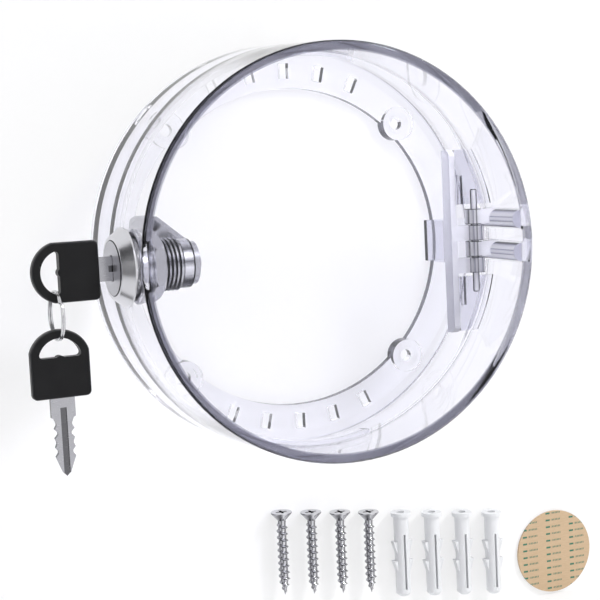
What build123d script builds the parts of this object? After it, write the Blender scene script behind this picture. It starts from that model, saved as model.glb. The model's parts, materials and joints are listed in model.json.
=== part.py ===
from build123d import *
import math
import os

# Round lockable guard for a wall thermostat: a clear base ring, a clear hinged cover with a
# cam lock through its side wall, two keys on a split ring, and the loose mounting kit.
# Millimetres. Origin at the centre of the wall face, +Z up, -Y to the front, hinge on +X.

# ---- clear shells -------------------------------------------------------------------------
total_depth = 60.0          # wall face to front face
base_depth = 24.0           # wall face to the parting plane
front_radius = 75.0         # outer radius at the front face
cover_draft = 2.4           # growth of the radius from the front face to the parting plane
base_draft = 1.6            # growth of the radius from the parting plane to the wall face
wall = 3.0                  # side wall of both shells
front_plate = 3.2           # front disc of the cover
back_plate = 3.0            # annular plate on the wall
front_edge_round = 1.2      # rounding of the front rim
rim_width = 17.0            # radial width of the back plate round its opening
parting_gap = 0.15          # gap between the two shells when shut
corner_round = 3.0          # rounding between the side wall and the back plate

# ---- spigot lip inside the cover ----------------------------------------------------------
spigot_height = 5.0
spigot_wall = 1.6
spigot_gap = 0.5            # radial gap to the cover
spigot_end_share = 0.24     # the lip stops at this share of the front radius
spigot_bite = 0.5           # its foot reaches this far into the base wall
spigot_foot = 4.0           # the lip starts this far behind the parting plane

# ---- screw bosses and vent slots ----------------------------------------------------------
screw_inset = 4.0           # edge of the opening to the screw circle
screw_hole_radius = 2.3
boss_radius = 6.6
boss_height = 5.5           # from the wall face
boss_angles = (45.0, 135.0, 225.0, 315.0)
countersink_radius = 4.4
countersink_depth = 2.2
vent_count = 5
vent_step = 12.0            # degrees between neighbours
vent_inset = 6.6            # edge of the opening to the middle of the slots
vent_width = 3.6
vent_length = 6.0

# ---- hinge --------------------------------------------------------------------------------
hinge_inset = 14.4          # hinge axis inside the parting edge
hinge_ahead = 11.4          # hinge axis ahead of the parting plane
knuckle_radius = 3.6
knuckle_pitch = 6.2
knuckle_gap = 0.4           # end gap between neighbouring knuckles
knuckle_count = 4
pin_radius = 1.3
pin_fit = 0.05              # radial running fit of the pin in the cover knuckles
pin_overhang = 7.4
pin_chamfer = 0.4
joint_relief = 0.5          # clearance of the cove that lets the cover swing
strip_gap = 8.6             # hinge axis to the face of the hinge strip
strip_thickness = 2.4
strip_half_height = 35.0
strip_lead = 2.0            # front edge of the strip ahead of the hinge axis
strip_wing_depth = 6.2      # depth of the strip above and below its foot
strip_foot_half_height = 8.0
strip_corner = 3.0
web_thickness = 2.4
bridge_thickness = 3.0
wing_gap = 5.6              # hinge axis to the straight edge of the cover's wings
wing_thickness = 1.8
wing_half_height = 35.0
wing_clear_half_height = 14.0
wing_ahead = 6.0            # back face of the wings ahead of the parting plane
wing_groove_gap = 3.6       # hinge axis to the groove
wing_groove_half_length = 25.0
wing_groove_width = 1.6
wing_groove_depth = 0.9
pad_inset = 4.0             # flat pads of the arms inside the front radius
pad_half_width = 3.9
arm_radius = 3.4
arm_drop = 1.1              # arms sit this much below their knuckles
arm_behind = 8.0            # back end of the arms behind the hinge axis

# ---- cam lock -----------------------------------------------------------------------------
lock_from_front = 17.0      # lock axis behind the front face
lock_boss_radius = 13.0
lock_boss_inset = 7.2       # inner flat of the lock boss inside the parting radius
barrel_radius = 9.3
barrel_hole_gap = 0.15
barrel_reach = 15.8         # barrel end beyond the flat of the boss
thread_pitch = 1.5
thread_depth = 0.65
thread_turns = 5
thread_land = 0.2           # plain root before the first ridge
thread_start = 2.0          # full-size barrel starts this far inside the boss
bezel_radius = 14.0
bezel_face_radius = 11.0
bezel_stand = 0.85          # back of the bezel off the cover wall at the lock axis
bezel_height = 4.4
bezel_rim = 0.6
gasket_radius = 11.4
gasket_fit = 0.05
gasket_depth = 2.0          # how far the gasket's blank reaches into the wall before it is trimmed
nut_across_flats = 22.0
nut_thickness = 4.4
nut_bevel_share = 0.28
plug_radius = 6.8
plug_fit = 0.05
plug_head_radius = 9.6
plug_head_thickness = 1.6
plug_head_gap = 0.1         # round the head
plug_seat_gap = 0.05        # behind the head
plug_proud = 0.2            # plug face ahead of the bezel face
stub_side = 8.0             # square end of the plug
stub_length = 2.2
plug_end_gap = 0.2          # plug end beyond the barrel end
cam_end_gap = 0.1
keyway_height = 9.0
keyway_width = 2.6
keyway_stop = 3.1           # end of the keyway before the barrel end
wafer_count = 5
wafer_step = 3.4
wafer_first = 1.4           # first wafer behind the back of the bezel
wafer_thickness = 0.9
wafer_slot_gap = 0.1
wafer_width = 6.9
wafer_height = 10.6
wafer_window_height = 9.4
wafer_window_width = 2.9

# ---- cam, its screw and the catch on the base ----------------------------------------------
cam_thickness = 2.0
cam_hub_radius = 7.6
cam_arm_width = 6.4
cam_reach = 24.0            # lock axis to the middle of the bent tab
cam_tab_thickness = 2.0
cam_rise = 11.4             # barrel end to the outer end of the tab
cam_slope_rise = 5.1        # barrel end to where the sloping arm meets the tab
cam_bend_share = 0.7        # outer bends set out by this share of the thickness
cam_flat_reach = 9.0        # flat part of the arm before it slopes outwards
cam_rest_angle = 33.0       # cam direction above the line to the wall, unlocked
cam_square_gap = 0.1
cam_tip_round = 2.2
washer_radius = 5.2
washer_thickness = 0.5
screw_head_radius = 3.6
screw_head_height = 1.3
screw_head_chamfer = 0.5
screw_cross_reach = 2.2
screw_cross_half_width = 0.4
screw_shank_radius = 1.5
screw_thread_length = 5.5
screw_tip_gap = 0.5         # screw tip to the end of its hole
catch_half_height = 5.0
catch_inset = 3.0           # inner face of the catch inside the tab's outer end
catch_thickness = 3.2
catch_post_inset = 6.0      # the post behind the lip starts this far outwards
catch_post_depth = 6.0
catch_gap = 0.6             # between the locked tab and the catch

# ---- keys and split ring --------------------------------------------------------------------
key_head_length = 23.5
key_head_width = 20.5
key_head_thickness = 3.4
key_head_corner = 1.8
key_head_round = 0.7
key_bow_depth = 7.6         # height of the arc at the far end of the head
key_hole_length = 15.2      # straight side of the D-shaped bow hole, across the head
key_hole_width = 6.6
key_hole_corner = 1.2
key_lobe_radius = 1.6       # bump in the middle of the hole's straight side
key_lobe_rise = 0.6
key_hole_margin = 2.9       # bar between the bow hole and the head's far edge
key_blade_width = 8.4
key_blade_thickness = 2.0
key_tang_length = 9.0
key_tang_width = 6.0
key_root_length = 6.6       # full-width part next to the head
key_body_width = 6.8
key_tip_width = 1.2
key_cut_count = 4
key_cut_step = 3.2
key_cut_flat = 0.7
key_cut_offset = 2.4        # root's end to the first cut
key_cut_depths = (0.7, 1.1, 0.5, 0.9)
key_groove_width = 2.2
key_groove_depth = 0.5
key_tip_gap = 1.8           # blade tip before the end of the keyway
key_inserted_gap = 4.8      # key head to the plug face
ring_radius = 8.3           # wire centre line
ring_wire_radius = 0.6
ring_play = 0.25            # rest clearance of the wire under the far bar of the spare key
ring_rest = 0.75            # rest clearance of the wire at the low end of the inserted key's hole
ring_seat = 1.7             # ring to the middle of the bow hole, towards the blade

# ---- loose kit ------------------------------------------------------------------------------
kit_count = 4
kit_drop = 0.134            # the row steps down by this share of its length
screw_row_x = -10.4
screw_row_step = 12.5
screw_row_top = -104.1
kit_screw_length = 33.6
kit_screw_head_radius = 4.2
kit_screw_head_height = 3.4
kit_screw_core_radius = 1.55
kit_screw_thread_radius = 2.35
kit_screw_pitch = 2.6
kit_screw_tip = 5.0
kit_screw_neck_radius = 2.05
kit_thread_crest_share = 0.3
kit_thread_foot_share = 0.6
kit_recess_width = 1.1
kit_recess_length = 4.6
kit_recess_depth = 1.8
anchor_row_x = 41.5
anchor_row_step = 14.0
anchor_row_top = -111.3
anchor_length = 35.0
anchor_radius = 3.1
anchor_collar_radius = 4.1
anchor_collar_height = 1.6
anchor_bore_radius = 1.7
anchor_bore_depth = 24.0
anchor_slot_width = 0.9
anchor_slot_start = 9.0
anchor_barb_height = 1.1
anchor_barb_rows = (12.0, 20.0)
disc_x = 115.4
disc_z = -139.6
disc_radius = 17.8
disc_thickness = 1.0
kit_clearance = 0.3         # kit pieces off the wall plane

over = 5.0                  # cutters run this far past the faces they cut

# ---- places worked out from the sizes --------------------------------------------------------
parting_y = -base_depth
front_y = -total_depth
parting_radius = front_radius + cover_draft
back_radius = parting_radius + base_draft
opening_radius = back_radius - rim_width
screw_pitch_radius = opening_radius + screw_inset
vent_radius = opening_radius + vent_inset
hinge_x = parting_radius - hinge_inset
hinge_y = parting_y - hinge_ahead
strip_outer_x = hinge_x - strip_gap
pad_x = front_radius - pad_inset
arm_back_y = hinge_y + arm_behind
lock_y = front_y + lock_from_front
cover_slope = (parting_radius - front_radius) / (total_depth - base_depth)
lock_lean = math.degrees(math.atan(cover_slope))    # the lock stands square to the sloping wall
base_slope = (back_radius - parting_radius) / base_depth
lock_wall_x = front_radius + cover_slope * lock_from_front    # outer radius at the lock axis
lock_boss_x = parting_radius - lock_boss_inset
barrel_end_x = lock_boss_x - barrel_reach
bezel_back_x = lock_wall_x + bezel_stand
key_face_x = bezel_back_x + bezel_height + plug_proud
key_blade_length = key_face_x + key_inserted_gap - barrel_end_x - keyway_stop - key_tip_gap
big = 4 * back_radius


def outer_radius(y):
    """Outer radius of the closed box at depth y."""
    if y < parting_y:
        return parting_radius - cover_slope * (parting_y - y)
    return parting_radius + base_slope * (y - parting_y)


def turned(points):
    """Solid of revolution about the box axis from (radius, y) points."""
    face = make_face(Polyline(*[(r, y, 0) for r, y in points], close=True))
    return revolve(face, Axis.Y, 360)


def at_lock(piece):
    """A piece drawn along X at the lock, leant square to the wall about the lock's seat."""
    to_seat = Pos(-lock_wall_x, lock_y, 0)
    return to_seat * Rot(0, 0, lock_lean) * to_seat.inverse() * piece


def cyl_x(radius, x0, x1, y=0.0, z=0.0):
    """Cylinder along X from x0 to x1."""
    return Pos((x0 + x1) / 2, y, z) * Rot(0, 90, 0) * Cylinder(radius, abs(x1 - x0))


def cyl_y(radius, y0, y1, x=0.0, z=0.0):
    """Cylinder along Y from y0 to y1."""
    return Pos(x, (y0 + y1) / 2, z) * Rot(90, 0, 0) * Cylinder(radius, abs(y1 - y0))


def block(x0, x1, y0, y1, z0, z1):
    """Box between two corners."""
    size = (abs(x1 - x0), abs(y1 - y0), abs(z1 - z0))
    return Pos((x0 + x1) / 2, (y0 + y1) / 2, (z0 + z1) / 2) * Box(*size)


def knuckle_z(i):
    """Centre height of knuckle i, counted from the top."""
    return ((knuckle_count - 1) / 2 - i) * knuckle_pitch


def knuckle(i, bore):
    """Knuckle i on the hinge axis, bored for the pin."""
    height = knuckle_pitch - knuckle_gap
    body = Cylinder(knuckle_radius, height) - Cylinder(bore, height + 1)
    return Pos(hinge_x, hinge_y, knuckle_z(i)) * body


def cover_inside():
    """Space inside the cover."""
    return turned([
        (0, front_y + front_plate),
        (outer_radius(front_y + front_plate) - wall, front_y + front_plate),
        (outer_radius(parting_y) - wall, parting_y + 1),
        (0, parting_y + 1),
    ])


def cover_outside():
    """Outer form of the cover, from its front face to the parting gap."""
    edge = parting_y - parting_gap
    body = turned([
        (0, front_y),
        (front_radius, front_y),
        (outer_radius(edge), edge),
        (0, edge),
    ])
    rim = body.edges().filter_by(GeomType.CIRCLE).sort_by(Axis.Y)[0]
    return fillet(rim, front_edge_round)


def make_cover():
    outside = cover_outside()
    body = outside - cover_inside()
    boss = at_lock(cyl_x(lock_boss_radius, -lock_boss_x, -front_radius, lock_y))
    body += boss & outside
    body += cover_wings() & outside
    for i in cover_knuckles:
        z = knuckle_z(i)
        pad = block(pad_x, big, front_y, arm_back_y,
                    z - arm_drop - pad_half_width, z - arm_drop + pad_half_width)
        body += pad & outside
    hole = cyl_x(barrel_radius + barrel_hole_gap, -lock_boss_x + over, -back_radius, lock_y)
    return body - at_lock(hole)


def cover_wings():
    """Two flat wings inside the cover that close the corner above and below the knuckles."""
    back = parting_y - wing_ahead
    front = back - wing_thickness
    plate = block(hinge_x - wing_gap, big, front, back, -wing_half_height, wing_half_height)
    plate -= block(0, big, front, back, -wing_clear_half_height, wing_clear_half_height)
    groove = hinge_x - wing_groove_gap
    plate -= block(groove - wing_groove_width / 2, groove + wing_groove_width / 2,
                   front, front + wing_groove_depth, -wing_groove_half_length,
                   wing_groove_half_length)
    return plate & cyl_y(outer_radius(back) - wall / 2, front, back)


def swing_space():
    """Barrel-shaped space about the hinge axis that the edge of the cover swings through."""
    half = math.sqrt(parting_radius ** 2 - hinge_x ** 2)
    middle = math.hypot(parting_radius - hinge_x, hinge_ahead) + joint_relief
    end = hinge_ahead + joint_relief
    curve = ThreePointArc((end, 0, -half), (middle, 0, 0), (end, 0, half))
    face = make_face([curve, Line((end, 0, half), (0, 0, half)),
                      Line((0, 0, half), (0, 0, -half)), Line((0, 0, -half), (end, 0, -half))])
    return Pos(hinge_x, hinge_y, 0) * revolve(face, Axis.Z, 360)


def spigot():
    """Lip of the base that stands inside the cover, left out on the hinge side."""
    foot = parting_y + spigot_foot
    tip = parting_y - spigot_height
    gap = wall + spigot_gap
    lip = turned([
        (outer_radius(tip) - gap - spigot_wall, tip),
        (outer_radius(tip) - gap, tip),
        (outer_radius(parting_y) - gap, parting_y),
        (outer_radius(parting_y) - wall, parting_y),
        (outer_radius(foot) - wall + spigot_bite, foot),
        (outer_radius(foot) - wall - spigot_wall, foot),
    ])
    end = spigot_end_share * front_radius
    return lip - block(end, big, tip - 1, foot + 1, -big, big)


def make_base():
    y_in = -back_plate
    shell = turned([
        (opening_radius, 0), (back_radius, 0), (parting_radius, parting_y),
        (parting_radius - wall, parting_y), (outer_radius(y_in) - wall, y_in - corner_round),
        (outer_radius(y_in) - wall - corner_round, y_in), (opening_radius, y_in),
    ])
    body = shell + spigot()
    for angle in boss_angles:
        x = screw_pitch_radius * math.cos(math.radians(angle))
        z = screw_pitch_radius * math.sin(math.radians(angle))
        body += cyl_y(boss_radius, -boss_height, 0, x, z)
        body -= cyl_y(screw_hole_radius, -boss_height - 1, 1, x, z)
        sink = Pos(x, -boss_height + countersink_depth / 2, z) * Rot(90, 0, 0)
        body -= sink * Cone(screw_hole_radius, countersink_radius, countersink_depth)
    for side in (90, 270):
        for i in range(vent_count):
            angle = side + (i - (vent_count - 1) / 2) * vent_step
            slot = Pos(vent_radius, -back_plate / 2, 0) * Box(vent_length, back_plate + 1, vent_width)
            body -= Rot(0, -angle, 0) * slot
    body -= swing_space()
    return body + hinge_web() + cam_catch()


def hinge_web():
    """Flat web behind the swing space that carries the hinge strip."""
    front = web_front_y()
    web = block(strip_outer_x - strip_thickness, big, front, front + web_thickness,
                -strip_foot_half_height, strip_foot_half_height)
    disc = cyl_y(outer_radius(front) - wall / 2, front, front + web_thickness)
    return web & disc


def web_front_y():
    """Front face of the web, just behind what the cover sweeps."""
    return hinge_y + math.hypot(parting_radius - hinge_x, hinge_ahead) + joint_relief


def cam_catch():
    """Lip on the left of the base that the tab of the cam turns behind."""
    back = lock_y + cam_reach - cam_tab_thickness / 2 - catch_gap
    inner = -barrel_end_x - cam_rise + catch_inset
    lip = block(-big, inner, back - catch_thickness, back, -catch_half_height, catch_half_height)
    post = block(-big, inner - catch_post_inset, back - catch_thickness, back + catch_post_depth,
                 -catch_half_height, catch_half_height)
    foot = back + catch_post_depth
    room = cyl_y(parting_radius - wall - spigot_gap, back - catch_thickness, foot)
    root = cyl_y(outer_radius(back) - wall / 2, parting_y, foot)
    return (lip + post) & (room + root)


def make_base_leaf():
    """Strip with the base knuckles, seated on the web by its foot."""
    x0 = strip_outer_x - strip_thickness
    front = hinge_y - strip_lead
    body = block(x0, strip_outer_x, front, front + strip_wing_depth, -strip_half_height,
                 strip_half_height)
    ends = body.edges().filter_by(Axis.X).group_by(Axis.Y)[0]
    body = fillet(ends, strip_corner)
    body += block(x0, strip_outer_x, hinge_y, web_front_y(), -strip_foot_half_height,
                  strip_foot_half_height)
    height = knuckle_pitch - knuckle_gap
    for i in base_knuckles:
        z = knuckle_z(i)
        body += block(strip_outer_x - 1, hinge_x, hinge_y - bridge_thickness / 2,
                      hinge_y + bridge_thickness / 2, z - height / 2, z + height / 2)
        body += knuckle(i, pin_radius)
        body -= Pos(hinge_x, hinge_y, z) * Cylinder(pin_radius, height + 1)
    return body


def make_cover_arm(i):
    """Half-round arm on a pad of the cover, with a bridge to knuckle i."""
    z = knuckle_z(i)
    half = (knuckle_pitch - knuckle_gap) / 2
    front = front_y + front_plate
    rod = cyl_y(arm_radius, front, arm_back_y, pad_x, z - arm_drop)
    body = rod & block(0, pad_x, front, arm_back_y, -big, big)
    body += block(hinge_x, pad_x, hinge_y - knuckle_radius, hinge_y + bridge_thickness / 2,
                  z - half, z + half)
    body += knuckle(i, pin_radius + pin_fit)
    return body - Pos(hinge_x, hinge_y, z) * Cylinder(pin_radius + pin_fit, knuckle_pitch)


def make_hinge_pin():
    pin = Cylinder(pin_radius, knuckle_count * knuckle_pitch + 2 * pin_overhang)
    return Pos(hinge_x, hinge_y, 0) * chamfer(pin.edges().filter_by(GeomType.CIRCLE), pin_chamfer)


def make_housing():
    """Bezel and threaded barrel in one turned piece."""
    points = [
        (plug_radius + plug_fit, barrel_end_x), (barrel_radius - thread_depth, barrel_end_x),
    ]
    plain = lock_boss_x - nut_thickness - thread_turns * thread_pitch
    points += [(barrel_radius - thread_depth, plain - thread_land)]
    for i in range(thread_turns):
        x = plain + i * thread_pitch
        points += [(barrel_radius - thread_depth, x), (barrel_radius, x + thread_pitch / 2)]
    face = bezel_back_x + bezel_height
    recess = plug_head_radius + plug_head_gap
    seat = face + plug_proud - plug_head_thickness - plug_seat_gap
    points += [
        (barrel_radius - thread_depth, lock_boss_x - nut_thickness),
        (barrel_radius, lock_boss_x - thread_start),
        (barrel_radius, bezel_back_x), (bezel_radius, bezel_back_x),
        (bezel_radius, bezel_back_x + bezel_rim), (bezel_face_radius, face),
        (recess, face), (recess, seat), (plug_radius + plug_fit, seat),
    ]
    section = make_face(Polyline(*[(-x, r, 0) for r, x in points], close=True))
    return at_lock(Pos(0, lock_y, 0) * revolve(section, Axis.X, 360))


def make_gasket():
    """Rubber washer between the bezel and the curved wall."""
    inner = -front_radius + gasket_depth
    ring = cyl_x(gasket_radius, -bezel_back_x, inner, lock_y)
    ring -= cyl_x(barrel_radius + gasket_fit, -bezel_back_x - over, inner + over, lock_y)
    return at_lock(ring) - cover_outside()


def make_nut():
    radius = nut_across_flats / 2 / math.cos(math.radians(30))
    x = -lock_boss_x + nut_thickness / 2
    hexagon = Rot(0, 90, 0) * extrude(RegularPolygon(radius, 6), nut_thickness / 2, both=True)
    cone = Rot(0, 90, 0) * Cylinder(radius, nut_thickness)
    cone = chamfer(cone.edges().filter_by(GeomType.CIRCLE), nut_thickness * nut_bevel_share)
    body = (hexagon & cone) - cyl_x(barrel_radius, -nut_thickness, nut_thickness)
    return at_lock(Pos(x, lock_y, 0) * body)


def make_plug():
    """Plug with its face, keyway, wafer slots and the square end that drives the cam."""
    face = key_face_x
    back = barrel_end_x - plug_end_gap
    body = cyl_x(plug_radius, -face + plug_head_thickness / 2, -back, lock_y)
    body += cyl_x(plug_head_radius, -face, -face + plug_head_thickness, lock_y)
    body += Pos(-back + stub_length / 2, lock_y, 0) * Box(stub_length, stub_side, stub_side)
    body -= block(-face - over, -barrel_end_x - keyway_stop, lock_y - keyway_width / 2,
                  lock_y + keyway_width / 2, -keyway_height / 2, keyway_height / 2)
    slot = Box(wafer_thickness + 2 * wafer_slot_gap, wafer_width, wafer_height)
    for i in range(wafer_count):
        body -= Pos(wafer_x(i), lock_y, 0) * slot
    return at_lock(body - cyl_x(screw_shank_radius, stub_x() - screw_thread_length, stub_x() + over,
                                lock_y))


def stub_x():
    """End face of the square stub."""
    return -barrel_end_x + plug_end_gap + stub_length


def wafer_x(i):
    return -bezel_back_x + wafer_first + i * wafer_step


def make_wafer(i):
    plate = Box(wafer_thickness, wafer_width, wafer_height)
    plate -= Box(wafer_thickness + 1, wafer_window_width, wafer_window_height)
    return at_lock(Pos(wafer_x(i), lock_y, 0) * plate)


def make_cam():
    """Cam on the square stub: a flat hub, an arm that slopes outwards and a tab across its end."""
    x0 = -barrel_end_x + plug_end_gap + cam_end_gap
    x1 = x0 + cam_thickness
    half = cam_arm_width / 2
    end = cam_reach + cam_tab_thickness / 2
    root = end - cam_tab_thickness
    bend = cam_thickness * cam_bend_share
    slope_x = -barrel_end_x - cam_slope_rise
    tab_x = -barrel_end_x - cam_rise
    arm = Polyline((x0, 0), (x0, cam_flat_reach), (slope_x, root), (tab_x, root), (tab_x, end),
                   (slope_x + bend, end), (x1, cam_flat_reach + bend),
                   (x1, 0), close=True)
    body = extrude(make_face(arm), half, both=True)
    tip = body.edges().filter_by(Axis.Y).group_by(Axis.X)[0]
    body = fillet(tip, cam_tip_round) + cyl_x(cam_hub_radius, x0, x1)
    side = stub_side + 2 * cam_square_gap
    square = block(x0 - over, x1 + over, -side / 2, side / 2, -side / 2, side / 2)
    return at_lock(Pos(0, lock_y, 0) * (Rot(cam_rest_angle, 0, 0) * body - square))


def make_cam_washer():
    ring = cyl_x(washer_radius, stub_x(), stub_x() + washer_thickness, lock_y)
    return at_lock(ring - cyl_x(screw_shank_radius, stub_x() - over, stub_x() + over, lock_y))


def make_cam_screw():
    seat = stub_x() + washer_thickness
    head = cyl_x(screw_head_radius, seat, seat + screw_head_height, lock_y)
    head = chamfer(head.edges().filter_by(GeomType.CIRCLE).group_by(Axis.X)[-1], screw_head_chamfer)
    cross = (screw_cross_reach, screw_cross_half_width)
    for wide, tall in (cross, cross[::-1]):
        head -= block(seat + screw_head_height / 2, seat + over, lock_y - wide, lock_y + wide, -tall, tall)
    return at_lock(head + cyl_x(screw_shank_radius, stub_x() - screw_thread_length + screw_tip_gap, seat,
                                lock_y))


def key_head():
    """Moulded key head: shoulder at the origin, blade towards +X, faces towards +-Y."""
    half = key_head_width / 2
    shoulder = -key_head_length + key_bow_depth
    outline = [
        Line((shoulder, half), (-key_head_corner, half)),
        RadiusArc((-key_head_corner, half), (0, half - key_head_corner), key_head_corner),
        Line((0, half - key_head_corner), (0, -half + key_head_corner)),
        RadiusArc((0, -half + key_head_corner), (-key_head_corner, -half), key_head_corner),
        Line((-key_head_corner, -half), (shoulder, -half)),
        ThreePointArc((shoulder, -half), (-key_head_length, 0), (shoulder, half)),
    ]
    body = Rot(90, 0, 0) * extrude(make_face(outline), key_head_thickness / 2, both=True)
    edges = body.edges().group_by(Axis.Y)
    body = fillet(edges[0] + edges[-1], key_head_round)
    return body - Pos(bow_hole_x(), 0, 0) * bow_hole() - key_tang()


def bow_hole():
    """D-shaped hole about its middle: arc to the far side, bumped straight side to the blade."""
    near = key_hole_width / 2
    end = key_hole_length / 2
    face = make_face([ThreePointArc((near, -end), (-near, 0), (near, end)),
                      Line((near, end), (near, -end))])
    face = fillet(face.vertices(), key_hole_corner)
    face -= Pos(near + key_lobe_radius - key_lobe_rise, 0) * Circle(key_lobe_radius)
    return Rot(90, 0, 0) * extrude(face, key_head_thickness, both=True)


def key_tang():
    half = key_tang_width / 2
    thick = key_blade_thickness / 2
    return block(-key_tang_length, 0, -thick, thick, -half, half)


def key_blade():
    """Flat blade with a tang in the head, cuts on both edges and a groove on both faces."""
    half = key_body_width / 2
    thick = key_blade_thickness / 2
    flat = key_cut_flat / 2
    top = [(0.0, key_blade_width / 2), (key_root_length, key_blade_width / 2),
           (key_root_length + flat, half)]
    for i in range(key_cut_count):
        u = key_root_length + key_cut_offset + i * key_cut_step
        depth = half - key_cut_depths[i % len(key_cut_depths)]
        top += [(u - flat, depth), (u + flat, depth), (u + key_cut_step / 2, half)]
    top += [(key_blade_length - key_tip_width, key_tip_width)]
    tip = [(key_blade_length, 0.0)]
    bottom = [(u, -v) for u, v in reversed(top)]
    face = make_face(Polyline(*(top + tip + bottom), close=True))
    body = Rot(90, 0, 0) * extrude(face, thick, both=True)
    for side in (-1, 1):
        groove = block(key_root_length / 2, key_blade_length + over,
                       side * (thick - key_groove_depth), side * (thick + over), -key_groove_width / 2, key_groove_width / 2)
        body -= groove
    return body + key_tang()


def bow_hole_x():
    """Centre of the bow hole, from the key's shoulder."""
    return -key_head_length + key_hole_margin + key_hole_width / 2


def inserted(piece):
    """A key piece in the lock."""
    return at_lock(Pos(-key_face_x - key_inserted_gap, lock_y, 0) * piece)


def ring_place():
    """Centre of the split ring: its wire rests on the lower end of the inserted key's bow hole."""
    x = -key_face_x - key_inserted_gap + bow_hole_x() + ring_seat
    top = -key_hole_length / 2 + ring_wire_radius + ring_rest
    return x, top - ring_radius


def make_ring():
    x, z = ring_place()
    return at_lock(Pos(x, lock_y, z) * Rot(0, 90, 0) * Torus(ring_radius, ring_wire_radius))


def hanging(piece):
    """A key piece that hangs from the ring with its blade down."""
    x, z = ring_place()
    wire = z - ring_radius
    hole_top = wire + ring_wire_radius + ring_play
    shoulder = hole_top + key_hole_margin - key_head_length
    return at_lock(Pos(x, lock_y, shoulder) * Rot(0, 90, 0) * piece)


def kit_screw():
    """Countersunk self-tapping screw along -Z from the middle of its head's top."""
    tip = -kit_screw_length
    shank_end = tip + kit_screw_tip
    head = Pos(0, 0, -kit_screw_head_height / 2) * Cone(kit_screw_neck_radius,
                                                        kit_screw_head_radius,
                                                        kit_screw_head_height)
    points = [(0, -kit_screw_head_height / 2)]
    points += [(kit_screw_core_radius, -kit_screw_head_height / 2)]
    z = -kit_screw_head_height - kit_screw_pitch
    while z - kit_screw_pitch > shank_end:
        points += [(kit_screw_core_radius, z), (kit_screw_thread_radius, z - kit_screw_pitch * kit_thread_crest_share),
                   (kit_screw_core_radius, z - kit_screw_pitch * kit_thread_foot_share)]
        z -= kit_screw_pitch
    points += [(kit_screw_core_radius, shank_end), (0, tip)]
    shaft = revolve(make_face(Polyline(*[(r, 0, h) for r, h in points], close=True)), Axis.Z, 360)
    body = head + shaft
    for turn in (0, 90):
        recess = Rot(0, 0, turn) * Box(kit_recess_length, kit_recess_width, 2 * kit_recess_depth)
        body -= recess
    return body


def wall_anchor():
    """Split plastic anchor along -Z from the middle of its collar's top."""
    body = Pos(0, 0, -anchor_length / 2) * Cylinder(anchor_radius, anchor_length)
    body = chamfer(body.edges().filter_by(GeomType.CIRCLE).sort_by(Axis.Z)[0], 1.2)
    body += Pos(0, 0, -anchor_collar_height / 2) * Cylinder(anchor_collar_radius, anchor_collar_height)
    for start in anchor_barb_rows:
        for side in (-1, 1):
            x = side * (anchor_radius - 0.4)
            barb = make_face(Polyline((x, 0, -start), (x, 0, -start - 5),
                                      (x + side * (anchor_barb_height + 0.4), 0, -start - 0.4),
                                      (x + side * (anchor_barb_height + 0.4), 0, -start), close=True))
            body += extrude(barb, anchor_radius * 0.5, dir=(0, 1, 0), both=True)
    body -= Pos(0, 0, -anchor_bore_depth / 2) * Cylinder(anchor_bore_radius, anchor_bore_depth + 0.01)
    slot_length = anchor_length - anchor_slot_start - 3.0
    slot = Box(anchor_slot_width, 3 * anchor_collar_radius, slot_length)
    return body - Pos(0, 0, -anchor_slot_start - slot_length / 2) * slot


def kit_row(piece, x, top, step, reach):
    """Copies of a kit piece laid side by side on the wall plane, in a row that steps down."""
    copies = [Pos(x + i * step, -reach - kit_clearance, top - i * step * kit_drop) * piece
              for i in range(kit_count)]
    return Compound(children=copies)


def make_disc():
    y = -kit_clearance
    return cyl_y(disc_radius, y - disc_thickness, y, disc_x, disc_z)


cover_knuckles = range(0, knuckle_count, 2)
base_knuckles = range(1, knuckle_count, 2)
os.makedirs("parts", exist_ok=True)
parts = {
    "base_ring": make_base(),
    "base_hinge_strip": make_base_leaf(),
    "cover": make_cover(),
    "hinge_pin": make_hinge_pin(),
    "lock_housing": make_housing(),
    "lock_gasket": make_gasket(),
    "lock_nut": make_nut(),
    "lock_plug": make_plug(),
    "cam": make_cam(),
    "cam_washer": make_cam_washer(),
    "cam_screw": make_cam_screw(),
    "key_head": inserted(key_head()),
    "key_blade": inserted(key_blade()),
    "split_ring": make_ring(),
    "spare_key_head": hanging(key_head()),
    "spare_key_blade": hanging(key_blade()),
    "mounting_screws": kit_row(kit_screw(), screw_row_x, screw_row_top, screw_row_step,
                               kit_screw_head_radius),
    "wall_anchors": kit_row(wall_anchor(), anchor_row_x, anchor_row_top, anchor_row_step,
                            anchor_collar_radius),
    "adhesive_disc": make_disc(),
}
for number, i in enumerate(cover_knuckles, 1):
    parts[f"cover_hinge_arm_{number}"] = make_cover_arm(i)
for i in range(wafer_count):
    parts[f"wafer_{i + 1}"] = make_wafer(i)
for name, solid in parts.items():
    export_step(solid, f"parts/{name}.step")
    print(name, len(solid.solids()), round(solid.volume, 1), all(s.is_valid for s in solid.solids()))
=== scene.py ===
# %% [markdown]
# # A clear lock box for a wall thermostat
# The box is a clear moulded ring and a clear hinged cup, with a cam lock through the side wall.
# The solids already have the right sizes and places, so this lesson gives them their finishes,
# swaps a few for finer meshes of the same size, and lights them as a small studio product.

# %% Load the fixed frame
import math
import json

import bpy
import bmesh
from mathutils import Matrix, Vector

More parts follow.
